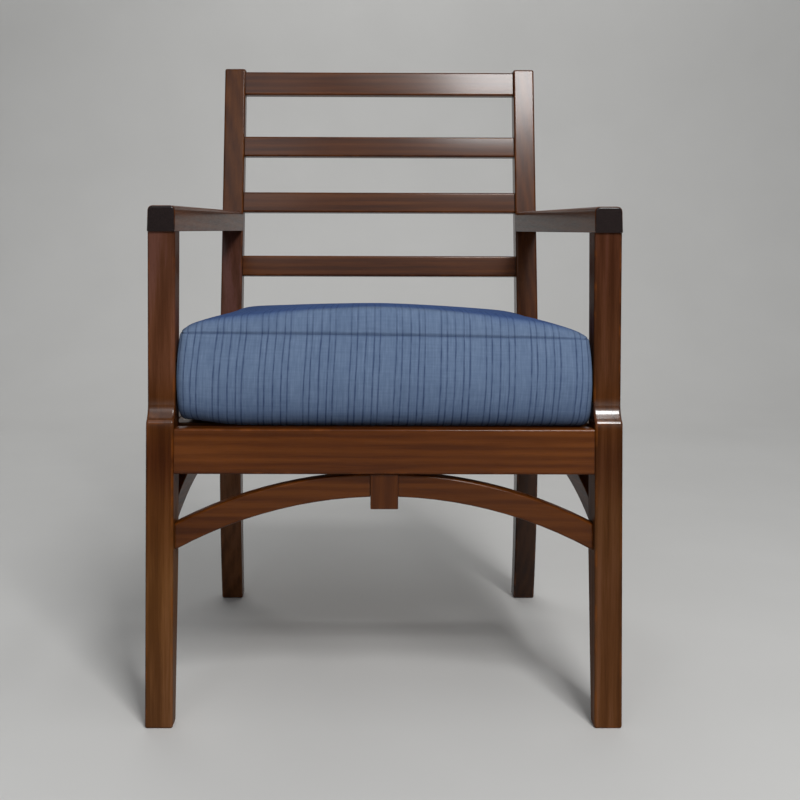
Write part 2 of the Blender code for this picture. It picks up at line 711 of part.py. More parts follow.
front_legs = {name: make_front_leg(f"front_leg_{name}", side) for name, side in SIDES.items()}
rear_legs = {name: make_rear_leg(f"rear_leg_{name}", side) for name, side in SIDES.items()}
make_back()
for side_name, side in SIDES.items():
    join_arm(make_arm(f"arm_{side_name}", side), side_name)
    make_side_apron(f"side_apron_{side_name}", side_name)
    make_side_arch(f"side_arch_{side_name}", side_name)
make_cross_apron("front_apron", front_legs, FRONT_LEG_INNER, FRONT_APRON_SETBACK)
make_cross_apron("rear_apron", rear_legs, REAR_LEG_INNER, SEAT_DEPTH + REAR_APRON_SETBACK)
front_arch = make_cross_arch(
    "front_arch", front_legs, FRONT_LEG_INNER, FRONT_ARCH_RADIUS, FRONT_ARCH_SETBACK
)
make_cross_arch(
    "rear_arch", rear_legs, REAR_LEG_INNER, REAR_ARCH_RADIUS, SEAT_DEPTH + REAR_ARCH_SETBACK
)
make_key_block(front_arch)
make_seat_deck()
make_corner_blocks()
make_cushion()
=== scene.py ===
"""The looks of the patio dining armchair: varnished wood, striped cushion, screws, light and camera.

Metres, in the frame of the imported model: +Z up, and the chair faces -Y. Left and right are those of
someone looking at the chair's front.
"""

import math
from contextlib import contextmanager

import bmesh
import bpy
import numpy as np
from mathutils import Matrix, Vector


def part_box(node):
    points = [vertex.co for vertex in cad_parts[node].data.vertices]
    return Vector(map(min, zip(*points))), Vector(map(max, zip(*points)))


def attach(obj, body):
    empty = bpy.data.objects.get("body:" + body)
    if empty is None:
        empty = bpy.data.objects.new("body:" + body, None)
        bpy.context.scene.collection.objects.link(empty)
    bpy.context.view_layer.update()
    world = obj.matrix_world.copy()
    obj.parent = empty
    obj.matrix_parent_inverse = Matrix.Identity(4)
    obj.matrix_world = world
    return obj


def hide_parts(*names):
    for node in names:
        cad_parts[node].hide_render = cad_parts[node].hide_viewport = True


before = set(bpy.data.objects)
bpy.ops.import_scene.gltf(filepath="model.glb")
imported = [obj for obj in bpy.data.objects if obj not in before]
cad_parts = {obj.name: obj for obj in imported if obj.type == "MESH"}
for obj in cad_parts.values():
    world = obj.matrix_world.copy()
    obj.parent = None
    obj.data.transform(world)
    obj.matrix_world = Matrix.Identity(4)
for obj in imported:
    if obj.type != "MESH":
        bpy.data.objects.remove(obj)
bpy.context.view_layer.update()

# Camera, solved from the chair's own corners in the photograph
PHOTO_SIDE = 800  # pixels
CAMERA_PLACE = (-0.029, -1.744, 0.628)
CAMERA_TURN = -0.0072  # radians, about the vertical
CAMERA_ROLL = 0.0031
FOCAL_PIXELS = 1163
VANISHING_POINT = (370.6, 228.8)  # pixel that the level camera looks straight at
SENSOR = 36  # mm

# Pieces of wood, by the axis that their grain follows
SEAT_SLATS = [f"seat_slat_{number}" for number in range(1, 8)]
CORNER_BLOCKS = [
    "corner_block_" + corner for corner in ("front_left", "front_right", "rear_left", "rear_right")
]
GRAIN = {
    "Z": [
        "front_leg_left", "front_leg_right", "rear_leg_left", "rear_leg_right", "arch_key_block",
    ],
    "X": [
        "crest_rail", "back_slat_upper", "back_slat_middle", "back_slat_lower",
        "front_apron", "rear_apron", "front_arch", "rear_arch",
    ],
    "Y": [
        "arm_left", "arm_right", "side_apron_left", "side_apron_right",
        "side_arch_left", "side_arch_right",
    ],
}
DECK_GRAIN = {"X": SEAT_SLATS + CORNER_BLOCKS, "Y": ["seat_cleat_left", "seat_cleat_right"]}
BACK_RAILS = ("crest_rail", "back_slat")
BRACES = ("front_arch", "rear_arch", "side_arch", "arch_key_block")

# Wood: dark, middle and light tones, and the weight of the varnish
FRAME_TONES = ((0.056, 0.0130, 0.0010), (0.085, 0.0210, 0.0018), (0.118, 0.0320, 0.0038))
DECK_TONES = ((0.085, 0.0280, 0.0085), (0.125, 0.0450, 0.0150), (0.170, 0.0680, 0.0250))
BACK_SHARE = 0.80  # share of the frame's tones that the back has
BRACE_SHARE = 0.78  # and the braces
FRAME_GLOSS = 0.28
ARM_GLOSS = 0.40
BACK_GLOSS = 0.56
REAR_LEG_GLOSS = {"rear_leg_left": 0.34, "rear_leg_right": 0.56}
DECK_GLOSS = 0.12
VARNISH_ROUGHNESS = 0.16
WOOD_SPECULAR = 0.04
# How the front legs' varnish thickens in their coves, by height
LEG_VARNISH = {
    "front_leg_left": ((0.378, 0.05), (0.384, 0.55), (0.404, 0.55), (0.412, 0.05)),
    "front_leg_right": ((0.378, 0.05), (0.384, 0.90), (0.404, 0.90), (0.412, 0.05)),
}
LEG_VARNISH_IOR = 1.8
LEG_VARNISH_ROUGHNESS = 0.22
LEG_SPECULAR = 0.01
# How the legs' colours change, by height: partly the wood's own tone, partly painted shade (darker just
# under the front legs' shoulders and at the right rear leg's foot) and painted reflection (green and blue
# raised where the varnish would show the room)
LEG_TONE_AND_PAINTED_LIGHT = {
    "front_leg_left": (
        (0.0, (1.48, 2.38, 9.4)),
        (0.18, (1.46, 2.26, 6.9)),
        (0.26, (1.08, 1.46, 3.8)),
        (0.34, (0.67, 0.70, 1.7)),
        (0.40, (0.92, 1.14, 2.6)),
        (0.46, (1.36, 2.02, 10.8)),
        (0.60, (0.87, 1.30, 7.6)),
    ),
    "front_leg_right": (
        (0.0, (1.16, 1.72, 6.1)),
        (0.18, (0.96, 1.40, 4.9)),
        (0.26, (0.81, 1.14, 3.3)),
        (0.34, (0.58, 0.69, 1.9)),
        (0.40, (0.80, 0.98, 2.2)),
        (0.46, (0.84, 1.17, 4.9)),
        (0.60, (0.76, 1.03, 5.4)),
    ),
    "rear_leg_left": (
        (0.20, (1.20, 1.60, 4.0)),
        (0.34, (1.00, 1.10, 2.0)),
        (0.48, (1.00, 1.40, 9.0)),
        (0.62, (1.00, 1.40, 9.0)),
        (0.68, (1.00, 1.08, 1.0)),
    ),
    "rear_leg_right": ((0.20, (0.34, 0.38, 0.4)), (0.34, (1.0, 1.0, 1.0))),
}

# Grain: spots to the metre along it and across it, detail and roughness of each noise
BROAD_BANDS = (3, 26, 3, 0.5)
STREAKS = (7, 170, 4, 0.6)
FIBRES = (14, 700, 3, 0.6)
PORES = (45, 1500, 2, 0.5)
RINGS = {"Scale": 30, "Distortion": 7, "Detail": 2, "Detail Scale": 0.35, "Detail Roughness": 0.55}
RING_STRETCH = 0.10  # scale of the rings along the grain
FIGURE_SHARES = (0.10, 0.40, 0.38, 0.12)  # of rings, broad bands, streaks and fibres
FIGURE_STOPS = (0.39, 0.50, 0.61)  # where the dark, middle and light tones lie
PORE_RANGE = (0.60, 0.72)
PORE_SHARE = 0.30
PORE_DARKER = 0.45
PORE_DEPTH = 1.2
FIBRE_RANGE = (0.3, 0.7)
WOOD_ROUGHNESS = (0.34, 0.46)
WOOD_RELIEF = 0.03
WOOD_RELIEF_DEPTH = 0.0005
BOARD_START = (0.0, 0.11, 0.19)  # each piece is cut from another place in the grain
BOARD_STEP = (0.37, 0.53, 0.71)
# A face is end grain where its normal lies this far along the grain
END_GRAIN = {"X": (0.60, 0.75), "Y": (0.60, 0.75), "Z": (0.84, 0.95)}
END_COLORS = ((0.35, (0.010, 0.0065, 0.0065)), (0.70, (0.020, 0.013, 0.012)))
WORN_SHARE = 0.40
WORN_LIGHTER = 1.6
WORN_SPOTS = 34  # to the metre
WORN_RANGE = (0.46, 0.66)

# Edges and joints of the wood
EASED_ANGLE = math.radians(40)
FLAT_ANGLE = math.radians(0.2)  # faces that turn less than this are one flat
MERGE_GAP = 0.00001
NARROW_FACE = 0.0022  # a face narrower than this belongs to an eased edge
SHOULDER_GAP = 0.0005  # a front leg's shoulder lies less than this below the arm
SHOULDER_RISE = 0.00025  # and is raised by most of the gap

# Screws
SCREW_HEAD = 0.0078
SCREW_SINK = 0.0022
SCREW_POINT = 0.5  # share of the head's width at its lower end
SCREW_RIM = 0.09  # share of the head's width that its chamfer takes on each side
SCREW_PROUD = 0.00012  # the heads stand this far out of the wood
SCREW_SLOT = (0.0046, 0.0010, 0.0016)  # length, width and depth of the cross recess
SLOT_POINT = 0.6  # share of the recess's size at its lower end
SCREW_INSET = 0.010  # from the ends of the seat slats, over the cleats
BLOCK_SCREW_SPREAD = 0.018  # from the middle of a corner block's slanted face

# Cushion, as cut and sewn
COVER_CELL = 0.007  # size of the cloth's squares
COVER_EDGE = 0.1175  # height of its sides, seam to seam
COVER_SEAM_INSET = 0.0005  # the upper seam lies this far inside the cushion's plan
COVER_CORNER = 0.015  # plan radius
COVER_FRONT_SPREAD = 0.0020  # the front corners are squeezed out this far towards the legs
TAPER_STRIP = 0.030  # the width at the back is taken within this distance of it
SIDE_BULGE = 0.0030  # the sides stand this far out of the upper seam
FRONT_BULGE = 0.0070  # and the front and back this far
BULGE_ARC = (0.18, 0.82)  # the bulge starts at this share of a half turn, and runs on by this share
BULGE_POWER = 0.9
COVER_UNDER = 0.025  # the front's lower seam is tucked this far under
SIDE_UNDER = 0.005  # and those of the sides this far
SIDE_UNDER_START = 0.6  # beyond this share of the half width
UNDER_SHARE = 0.28  # share of the sides' height that turns under
ROLL_CLOTH = 0.035  # this much of the top panel's cloth goes up the front, over the seam
ROLL_DEPTH = 0.013  # and ends this far behind it
TOP_SHARE = 0.9999  # a point above this share of the sides' height is on the top panel
TOP_EDGE_RISE = 0.0120  # the top panel rises this far from its seams
SIDE_ROLL = 0.0155  # within about this distance at the sides
SIDE_ROLL_LEAN = 0.29  # and quicker on the left
SIDE_ROLL_POWER = 0.85
BACK_ROLL = 0.020  # and this at the back
BACK_ROLL_POWER = 1.35
COVER_CROWN = 0.0227  # further rise of the top, highest at its front edge
CROWN_SPREAD = 1.6
CROWN_DROP = 1.25
COVER_FALL = 0.0066  # the back stands this much lower
COVER_FALL_POWER = 1.2
COVER_TILT = 0.0032  # the left side stands this much higher, the right side as much lower
CORNER_LIFT = 0.010  # the lower left front corner curls up
CORNER_LIFT_REACH = 0.045
CORNER_LIFT_SHARE = 0.6  # share of the sides' height that the curl reaches
STUFFING = {
    "quality": 6,
    "mass": 0.3,
    "tension_stiffness": 60,
    "compression_stiffness": 60,
    "shear_stiffness": 20,
    "bending_stiffness": 1.5,
    "use_pressure": True,
    "uniform_pressure_force": 2.5,
}
STUFFING_FRAMES = 20
RESTING_HEIGHT = 0.0030  # what lies lower than this is held
SWELL_LIMIT = 0.0035
ON_SEAM = 0.0002  # a point nearer to a seam than this is on it
SEAM_HALF_WIDTH = 0.0014
SEAM_DEPTH = 0.0030
# Painted shade in the seams: its darkness at a seam, and how far it reaches
SEAM_SHADE_DARKNESS = 0.40
SEAM_SHADE_REACH = 0.0030
PUCKER_STEP = 0.013
PUCKER_HEIGHT = 0.0005
PUCKER_REACH = 0.014
PUCKER_DRIFT = ((2.2, 37), (1.3, 91))  # radians, and radians to the metre: the puckers are uneven
ZIP_DROP = 0.042  # the flap over the zip starts this far below the upper seam, at the back
ZIP_FLAP = 0.022  # its width
ZIP_MARGIN = 0.040  # and how far from the back corners it ends
ZIP_FLAP_RISE = 0.0012
STITCH_INSET = 0.0028  # from the flap's edges
STITCH_STEP = 0.0042
STITCH_SHARE = 0.68  # share of a step that its thread takes
STITCH_WIDTH = 0.0010
ZIP_END_X = 0.184  # where the closed zip's slider stands
ZIP_LEVEL = 0.444
ZIP_NEAR = 0.004  # it lies against the points of the cover that are this near
ZIP_SLIDER = (0.0075, 0.0032, 0.0090)  # width, thickness and length
ZIP_SLIDER_EASE = 0.0009
ZIP_SLIDER_SINK = 0.0012  # into the cloth
ZIP_TAB = (0.0050, 0.0012, 0.0150)  # width, thickness and length
ZIP_TAB_EASE = 0.0005
ZIP_TAB_DROP = 0.42  # share of its length that the tab's middle hangs below the slider's
ZIP_HOLE_DROP = 0.78  # and its hole
ZIP_HOLE = 0.28  # radius of the hole, as a share of the tab's width
ZIP_DRILL = 0.01  # length of the drill that makes it

# Stripes of the cloth: a set of thin lines that repeats across the cushion
STRIPE_PERIOD = 0.0562
STRIPE_LINES = (0.0, 0.0074, 0.0181, 0.0286, 0.0360)
STRIPE_WIDTH = 0.0030
STRIPE_START = 0.0149  # X of the first line of a set
STRIPE_SLANT = 0.046  # how far the lines lean as they go down the sides
CLOTH_TONES = ((0.092, 0.135, 0.224), (0.117, 0.167, 0.265), (0.147, 0.203, 0.309))
CLOTH_STOPS = (0.36, 0.50, 0.64)  # where the dark, middle and light tones lie
# Colour of the thin lines, which the painted shade in the seams also takes
LINE_AND_SEAM_SHADE_COLOR = (0.030, 0.050, 0.115)
CLOTH_PAINTED_SHADE = (0.38, 0.51, 0.81)  # painted shade: share of the colour that the top keeps behind its front edge
PAINTED_SHADE_START = (0.0100, 0.0450)  # it sets in between these distances behind the front seam
PAINTED_SHADE_LATER = 0.029  # and this much further back in the middle
PAINTED_SHADE_MIDDLE = (0.0, 0.17)  # which gives way between these distances from the centre line
# Painted shade on the front and sides as they turn under: share of the colour that they keep, by distance
# below the upper seam
CLOTH_PAINTED_LOW_SHADE = (
    (0.043, (1.00, 1.00, 1.00)),
    (0.069, (0.92, 0.92, 0.93)),
    (0.084, (0.74, 0.75, 0.78)),
    (0.094, (0.54, 0.55, 0.59)),
)
# Strength of the lines, by distance in front of the top panel's middle
LINE_FADE = ((0.13, 0.40), (0.20, 0.50), (0.24, 1.0))
THREAD = (0.045, 0.070, 0.150)

# Weave: spots to the metre across and along the stripes, detail and roughness of each noise
YARNS = (560, 22, 3, 0.6)
WEFTS = (30, 480, 2, 0.5)
SLUBS = (300, 60, 2, 0.5)
FADING = (11, 11, 2, 0.5)
LINE_WANDER = (60, 14, 1, 0.5)
LINE_BREAKS = (170, 70, 2, 0.5)
TONE_SHARES = (0.40, 0.25, 0.20, 0.15)  # of yarns, slubs, wefts and fading
WANDER_WIDTH = 0.0022  # how far the lines wander
SLUB_WIDTH = 0.0010  # and are pushed by slubs
BREAK_RANGE = (0.30, 0.60)
BREAK_STRENGTH = (0.50, 1.0)
WARP_PITCH = 0.0011
WEFT_PITCH = 0.0013
RELIEF_SHARES = (1.0, 2.0, 3.0)  # of weave, slubs and stitches
CLOTH_RELIEF = 0.30
CLOTH_RELIEF_DEPTH = 0.0003

# Plated steel
STEEL_SPOTS = 260  # to the metre
STEEL_COLORS = ((0.35, (0.20, 0.19, 0.16)), (0.65, (0.32, 0.31, 0.27)))
STEEL_ROUGHNESS = (0.45, 0.70)

# Studio
FLOOR_SIZE = (14, 9, 1)
FLOOR_PLACE = (0, -1.2, 0)
FLOOR_COLORS = ((0.3, (0.635, 0.630, 0.615)), (0.7, (0.660, 0.655, 0.640)))
BACKDROP_HEIGHT = 5
BACKDROP_CURVE = 1.4
COOL_LIGHT = (0.90, 0.95, 1.0)
AIR_COLOR = (0.94, 0.97, 1.0, 1)
AIR_STRENGTH = 0.12


def select_only(obj):
    bpy.ops.object.select_all(action="DESELECT")
    obj.select_set(True)
    bpy.context.view_layer.objects.active = obj


@contextmanager
def editing(obj):
    select_only(obj)
    bpy.ops.object.mode_set(mode="EDIT")
    yield
    bpy.ops.object.mode_set(mode="OBJECT")


def pick(obj, kind, test):
    """In edit mode, selects only the vertices, edges or faces that pass a test."""
    bpy.ops.mesh.select_mode(type=kind)
    bpy.ops.mesh.select_all(action="DESELECT")
    shape = bmesh.from_edit_mesh(obj.data)
    items = {"VERT": shape.verts, "EDGE": shape.edges, "FACE": shape.faces}[kind]
    for item in items:
        item.select = test(item)
    shape.select_flush_mode()
    bmesh.update_edit_mesh(obj.data)


def unit_cube():
    """A new cube with sides of 1 m, with nothing else selected."""
    bpy.ops.object.select_all(action="DESELECT")
    bpy.ops.mesh.primitive_cube_add(size=1)
    return bpy.context.object


def size_and_place(size, place=(0, 0, 0)):
    """In edit mode, brings all of a new primitive to its size and place."""
    bpy.ops.mesh.select_all(action="SELECT")
    bpy.ops.transform.resize(value=size)
    bpy.ops.transform.translate(value=place)


def apply_modifier(obj, modifier):
    select_only(obj)
    bpy.ops.object.modifier_apply(modifier=modifier.name)


def cut_away(piece, cutter):
    """Cuts the shape of a cutter out of a piece, and takes the cutter away."""
    cut = piece.modifiers.new("cut", "BOOLEAN")
    cut.operation = "DIFFERENCE"
    cut.solver = "EXACT"
    cut.object = cutter
    apply_modifier(piece, cut)
    bpy.data.objects.remove(cutter)


def points_of(obj):
    points = np.empty(len(obj.data.vertices) * 3, np.float32)
    obj.data.vertices.foreach_get("co", points)
    return points.reshape(-1, 3).astype(float)


def set_points(obj, points):
    obj.data.vertices.foreach_set("co", points.astype(np.float32).ravel())
    obj.data.update()


def finish_piece(piece, material, body, slot, *nodes):
    """Gives a piece its material, hangs it from the body that carries it, and hides the solids that it
    stands for.
    """
    piece.data.materials.clear()
    piece.data.materials.append(material)
    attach(piece, body)
    if nodes:
        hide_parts(*nodes)
    return piece


# Shader nodes

def new_material(name):
    material = bpy.data.materials.new(name)
    material.use_nodes = True
    return material, material.node_tree, material.node_tree.nodes["Principled BSDF"]


def plug(tree, target, inputs):
    """Links or sets each named input of a shader node."""
    for name, value in inputs.items():
        if isinstance(value, bpy.types.NodeSocket):
            tree.links.new(value, target.inputs[name])
        else:
            target.inputs[name].default_value = value


def node(tree, kind, inputs=(), **settings):
    """A shader node with its settings, and with each input linked or set."""
    made = tree.nodes.new("ShaderNode" + kind)
    for name, value in settings.items():
        setattr(made, name, value)
    plug(tree, made, dict(inputs))
    return made


def math_node(tree, operation, first, second=0.0):
    return node(tree, "Math", {0: first, 1: second}, operation=operation).outputs[0]


def weighted_sum(tree, values, shares):
    total = math_node(tree, "MULTIPLY", values[0], shares[0])
    for value, share in zip(values[1:], shares[1:]):
        total = math_node(tree, "ADD", total, math_node(tree, "MULTIPLY", value, share))
    return total


def map_range(tree, value, start, end, low=0.0, high=1.0, interpolation="LINEAR"):
    """Carries a value from one range over to another, and holds it there."""
    inputs = {"Value": value, "From Min": start, "From Max": end, "To Min": low, "To Max": high}
    return node(tree, "MapRange", inputs, interpolation_type=interpolation).outputs[0]


def smooth_step(tree, value, start, end, low=0.0, high=1.0):
    return map_range(tree, value, start, end, low, high, "SMOOTHSTEP")


def ramp(tree, factor, stops, interpolation="LINEAR"):
    """A colour ramp through (position, colour) stops."""
    made = node(tree, "ValToRGB", {"Fac": factor})
    band = made.color_ramp
    band.interpolation = interpolation
    while len(band.elements) < len(stops):
        band.elements.new(1.0)
    for element, (position, color) in zip(band.elements, stops):
        element.position = position
        element.color = (*color, 1)
    return made.outputs["Color"]


def level_ramp(tree, factor, levels):
    """A ramp through (position, level) stops."""
    return ramp(tree, factor, [(position, (level,) * 3) for position, level in levels])


def blend_colors(tree, factor, first, second, blend_type="MIX"):
    made = node(tree, "Mix", {"Factor": factor}, data_type="RGBA", blend_type=blend_type)
    for socket, value in ((made.inputs[6], first), (made.inputs[7], second)):
        if isinstance(value, bpy.types.NodeSocket):
            tree.links.new(value, socket)
        else:
            socket.default_value = (*value, 1)
    return made.outputs[2]


def scaled(color, share):
    return tuple(part * share for part in color)


# Varnished wood

def along_grain(axis, lengthwise, crosswise):
    """A texture scale that is drawn out along one axis."""
    return [lengthwise if name == axis else crosswise for name in "XYZ"]


def grain_noise(tree, place, axis, shift, lengthwise, crosswise, detail, roughness):
    scale = along_grain(axis, lengthwise, crosswise)
    mapped = node(tree, "Mapping", {"Vector": place, "Location": shift, "Scale": scale}).outputs[0]
    inputs = {"Vector": mapped, "Scale": 1, "Detail": detail, "Roughness": roughness}
    return node(tree, "TexNoise", inputs).outputs["Fac"]


def growth_rings(tree, place, axis, shift):
    scale = along_grain(axis, RING_STRETCH, 1.0)
    mapped = node(tree, "Mapping", {"Vector": place, "Location": shift, "Scale": scale}).outputs[0]
    rings = node(
        tree, "TexWave", {"Vector": mapped, **RINGS},
        wave_type="RINGS", rings_direction=axis, wave_profile="SIN",
    )
    return rings.outputs["Fac"]


def wood_grain(tree, place, axis, shift):
    """The figure of the grain, its fibres, and a mask of its pores."""
    rings = growth_rings(tree, place, axis, shift)
    broad, streaks, fibres, pores = [
        grain_noise(tree, place, axis, shift, *noise) for noise in (BROAD_BANDS, STREAKS, FIBRES, PORES)
    ]
    figure = weighted_sum(tree, (rings, broad, streaks, fibres), FIGURE_SHARES)
    return figure, fibres, map_range(tree, pores, *PORE_RANGE, 0.0, PORE_SHARE)


def edge_wear(tree, place):
    """Where the varnish of an eased edge is rubbed: in patches, on the faces that are marked as edges."""
    edge = node(tree, "Attribute", attribute_name="edge_wear").outputs["Fac"]
    patches = node(tree, "TexNoise", {"Vector": place, "Scale": WORN_SPOTS, "Detail": 4}).outputs["Fac"]
    rubbed = smooth_step(tree, patches, *WORN_RANGE, 0.0, WORN_SHARE)
    return math_node(tree, "MULTIPLY", edge, rubbed)


def end_grain_mask(tree, normal, axis):
    """1 where a face is cut across the grain."""
    parts = node(tree, "SeparateXYZ", {"Vector": normal})
    across = math_node(tree, "ABSOLUTE", parts.outputs["XYZ".index(axis)])
    return map_range(tree, across, *END_GRAIN[axis])


def varnish_wood(tree, shader, height, gloss, varnish):
    """A coat of varnish, which is even or changes with height."""
    if varnish:
        plug(tree, shader, {
            "Specular IOR Level": LEG_SPECULAR,
            "Coat Weight": level_ramp(tree, height, varnish),
            "Coat Roughness": LEG_VARNISH_ROUGHNESS,
            "Coat IOR": LEG_VARNISH_IOR,
        })
    else:
        plug(tree, shader, {
            "Specular IOR Level": WOOD_SPECULAR,
            "Coat Weight": gloss,
            "Coat Roughness": VARNISH_ROUGHNESS,
        })


def wood_material(name, axis, shift, tones, gloss, height_tones_and_painted_light=(), varnish=()):
    """Dark hardwood under satin varnish. The grain runs along an axis, and the ends are darker.

    Painted light and varnish, where given, change the colour and the coat with height: the colour by the
    wood's tone with painted shade and painted reflection.
    """
    material, tree, shader = new_material(name)
    dark, _, light = tones
    coordinates = node(tree, "TexCoord")
    place = coordinates.outputs["Object"]
    height = node(tree, "SeparateXYZ", {"Vector": place}).outputs["Z"]
    figure, fibres, pores = wood_grain(tree, place, axis, shift)
    color = ramp(tree, figure, list(zip(FIGURE_STOPS, tones)))
    color = blend_colors(tree, pores, color, scaled(dark, PORE_DARKER))
    # The legs' colour by height: the wood's tone, with painted shade and painted reflection multiplied in.
    if height_tones_and_painted_light:
        color = blend_colors(tree, 1.0, color, ramp(tree, height, height_tones_and_painted_light, "EASE"), "MULTIPLY")
    color = blend_colors(tree, edge_wear(tree, place), color, scaled(light, WORN_LIGHTER))
    ends = end_grain_mask(tree, coordinates.outputs["Normal"], axis)
    color = blend_colors(tree, ends, color, ramp(tree, fibres, END_COLORS))
    relief = math_node(tree, "SUBTRACT", fibres, math_node(tree, "MULTIPLY", pores, PORE_DEPTH))
    bump = node(tree, "Bump", {"Height": relief, "Strength": WOOD_RELIEF, "Distance": WOOD_RELIEF_DEPTH})
    plug(tree, shader, {
        "Base Color": color,
        "Roughness": map_range(tree, fibres, *FIBRE_RANGE, *WOOD_ROUGHNESS),
        "Normal": bump.outputs[0],
    })
    varnish_wood(tree, shader, height, gloss, varnish)
    return material


def finish_of(name, slot):
    """The tones of a piece, the gloss of its varnish, and how both change with height; a leg's colour
    change by height holds painted shade and painted reflection.
    """
    if slot == "deck_wood":
        return DECK_TONES, DECK_GLOSS
    if name.startswith("front_leg"):
        return FRAME_TONES, FRAME_GLOSS, LEG_TONE_AND_PAINTED_LIGHT[name], LEG_VARNISH[name]
    if name.startswith("rear_leg"):
        return [scaled(tone, BACK_SHARE) for tone in FRAME_TONES], REAR_LEG_GLOSS[name], LEG_TONE_AND_PAINTED_LIGHT[name]
    if name.startswith(BACK_RAILS):
        return [scaled(tone, BACK_SHARE) for tone in FRAME_TONES], BACK_GLOSS
    if name.startswith(BRACES):
        return [scaled(tone, BRACE_SHARE) for tone in FRAME_TONES], FRAME_GLOSS
    if name.startswith("arm_"):
        return FRAME_TONES, ARM_GLOSS
    return FRAME_TONES, FRAME_GLOSS


def dress_wood(node_name, material, slot):
    """A smooth-shaded copy of a wooden solid, with one clean face on each flat."""
    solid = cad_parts[node_name]
    mesh = bpy.data.meshes.new_from_object(solid)
    piece = bpy.data.objects.new(node_name + "_wood", mesh)
    bpy.context.scene.collection.objects.link(piece)
    select_only(piece)
    bpy.ops.mesh.customdata_custom_splitnormals_clear()
    with editing(piece):
        bpy.ops.mesh.select_all(action="SELECT")
        bpy.ops.mesh.remove_doubles(threshold=MERGE_GAP)
        bpy.ops.mesh.dissolve_limited(angle_limit=FLAT_ANGLE)
        if node_name.startswith("front_leg"):
            close_shoulder(piece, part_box(node_name.replace("front_leg", "arm"))[0].z)
    note_worn_edges(piece)
    bpy.ops.object.shade_smooth_by_angle(angle=EASED_ANGLE)
    weighted = piece.modifiers.new("flat_faces", "WEIGHTED_NORMAL")
    weighted.keep_sharp = True
    apply_modifier(piece, weighted)
    return finish_piece(piece, material, "frame", slot, node_name)


def close_shoulder(leg, arm_low):
    """Raises the shoulder of a leg's tenon up to the arm, so that no light shows through their joint."""
    def is_shoulder(face):
        return face.normal.z > 0.99 and -SHOULDER_GAP < face.calc_center_median().z - arm_low < 0

    pick(leg, "FACE", is_shoulder)
    bpy.ops.transform.translate(value=(0, 0, SHOULDER_RISE))


def note_worn_edges(piece):
    """Marks the narrow faces of the eased edges."""
    worn = piece.data.attributes.new("edge_wear", "FLOAT", "FACE")
    for face in piece.data.polygons:
        corners = [piece.data.vertices[index].co for index in face.vertices]
        around = sum((here - after).length for here, after in zip(corners, corners[1:] + corners[:1]))
        worn.data[face.index].value = float(2 * face.area / around < NARROW_FACE)


def dress_all_wood():
    board = 0
    for grain, slot in ((GRAIN, "frame_wood"), (DECK_GRAIN, "deck_wood")):
        for axis, names in grain.items():
            for name in names:
                board += 1
                shift = [start + step * board for start, step in zip(BOARD_START, BOARD_STEP)]
                material = wood_material(name + "_grain", axis, shift, *finish_of(name, slot))
                dress_wood(name, material, slot)


# Screws

def steel_material():
    """Zinc-plated steel, slightly dulled."""
    material, tree, shader = new_material("plated_steel")
    place = node(tree, "TexCoord").outputs["Object"]
    haze = node(tree, "TexNoise", {"Vector": place, "Scale": STEEL_SPOTS, "Detail": 3}).outputs["Fac"]
    plug(tree, shader, {
        "Base Color": ramp(tree, haze, STEEL_COLORS),
        "Roughness": map_range(tree, haze, 0.0, 1.0, *STEEL_ROUGHNESS),
        "Metallic": 1,
    })
    return material


def model_screw():
    """A countersunk screw head with a cross recess. It faces up, with its rim at the origin's height."""
    bpy.ops.object.select_all(action="DESELECT")
    bpy.ops.mesh.primitive_cylinder_add(
        vertices=24, radius=SCREW_HEAD / 2, depth=SCREW_SINK, location=(0, 0, 0)
    )
    screw = bpy.context.object
    with editing(screw):
        pick(screw, "VERT", lambda vert: vert.co.z < 0)
        bpy.ops.transform.resize(value=(SCREW_POINT, SCREW_POINT, 1))
        pick(screw, "FACE", lambda face: face.normal.z > 0.9)
        bpy.ops.mesh.inset(thickness=SCREW_HEAD * SCREW_RIM)
        bpy.ops.transform.translate(value=(0, 0, SCREW_PROUD))
        bpy.ops.mesh.select_all(action="SELECT")
        bpy.ops.transform.translate(value=(0, 0, -SCREW_SINK / 2))
    length, width, depth = SCREW_SLOT
    for size in ((length, width, depth), (width, length, depth)):
        cut_slot(screw, size)
    return screw


def cut_slot(screw, size):
    """Sinks one bar of the cross recess into a screw's head."""
    bar = unit_cube()
    with editing(bar):
        size_and_place((*size[:2], 2 * size[2]))
        pick(bar, "VERT", lambda vert: vert.co.z < 0)
        bpy.ops.transform.resize(value=(SLOT_POINT, SLOT_POINT, 1))
    cut_away(screw, bar)


def slanted_face(name):
    """Middle and normal of the slanted inner face of a corner block."""
    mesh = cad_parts[name].data
    faces = [face for face in mesh.polygons if min(abs(face.normal.x), abs(face.normal.y)) > 0.4]
    broad = max(faces, key=lambda face: face.area)
    level = [face for face in faces if face.normal.dot(broad.normal) > 0.999]
    corners = np.array([mesh.vertices[index].co for face in level for index in face.vertices])
    return Vector((corners.min(0) + corners.max(0)) / 2), broad.normal.copy()


def screw_places():
    """Name, place and direction of every screw of the deck and the corner blocks."""
    for slat in SEAT_SLATS:
        low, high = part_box(slat)
        middle = (low.y + high.y) / 2
        for side, x in (("left", low.x + SCREW_INSET), ("right", high.x - SCREW_INSET)):
            yield f"{slat}_screw_{side}", Vector((x, middle, high.z)), Vector((0, 0, 1))
    for block in CORNER_BLOCKS:
        middle, normal = slanted_face(block)
        along = normal.cross(Vector((0, 0, 1))).normalized()
        for number, shift in ((1, -BLOCK_SCREW_SPREAD), (2, BLOCK_SCREW_SPREAD)):
            yield f"{block}_screw_{number}", middle + shift * along, normal


